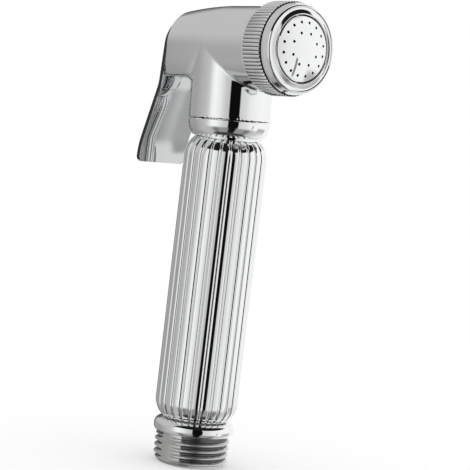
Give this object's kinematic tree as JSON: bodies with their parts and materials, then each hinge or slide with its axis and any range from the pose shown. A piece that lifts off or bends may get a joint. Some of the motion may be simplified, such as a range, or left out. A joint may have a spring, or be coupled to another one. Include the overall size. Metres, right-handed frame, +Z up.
{
  "type": "handheld bidet shower",
  "caption": "Handheld bidet shower with a straight fluted grip, a threaded inlet below, a squeeze lever behind the head and a round perforated nozzle held by a knurled nut.",
  "frame": {"origin": "on the ground plane under the middle of the width and of the length from nozzle to lever tip, in the plane of the inlet end face", "axes": "+Z up along the handle towards the head, -Y the way the nozzle sprays, +Y the side of the lever, +X the lever pin's open side"},
  "size_m": [0.026, 0.056, 0.1318],
  "materials": {
    "chrome": "bright polished plating on brass",
    "brass": "machined",
    "steel": "drawn stainless wire and rod",
    "rubber": "matt moulded",
    "nylon": "natural nylon"
  },
  "bodies": {
    "handset": {"inlet_connector": "chrome", "handle_sleeve": "chrome", "neck_ring": "chrome", "head_body": "chrome", "gland_nut": "brass", "valve_seat": "brass", "spring_retainer": "brass", "valve_spring": "steel", "trigger_pin": "steel", "tube_oring_lower": "rubber", "tube_oring_upper": "rubber", "stem_oring": "rubber", "seat_oring": "rubber", "collar_washer": "nylon", "neck_washer": "nylon", "water_tube": "nylon"},
    "lever": {"trigger_lever": "chrome"},
    "valve": {"valve_stem": "steel", "valve_washer": "rubber", "poppet": "brass", "poppet_nut": "brass"},
    "nozzle_nut": {"nozzle_nut": "chrome"},
    "spray_plate": {"spray_plate": "chrome", "plate_gasket": "rubber"}
  },
  "joints": [
    {"name": "trigger", "type": "hinge", "parent": "handset", "child": "lever", "pos_m": [0, 0.01701, 0.12288], "axis": [-1, 0, 0], "range_deg": [0, 6.3], "stiffness_Nm_per_rad": 2.5, "springref_deg": -2.29},
    {"name": "valve_push", "type": "slide", "parent": "handset", "child": "valve", "axis": [0, -0.9981, 0.061], "range_m": [0, 0.00071], "deforming": ["valve_spring"]},
    {"name": "nozzle_travel", "type": "slide", "parent": "handset", "child": "spray_plate", "axis": [0, -0.9981, 0.061], "range_m": [0, 0.00526]},
    {"name": "nozzle_unscrew", "type": "hinge", "parent": "spray_plate", "child": "nozzle_nut", "pos_m": [0, 0.00085, 0.11745], "axis": [0, -0.9981, 0.061], "range_deg": [0, 1260]}
  ],
  "couplings": [
    {"joint": "valve_push", "follows": "trigger", "m_per_rad": 0.0064},
    {"joint": "nozzle_travel", "follows": "nozzle_unscrew", "m_per_rad": 0.00023873}
  ]
}
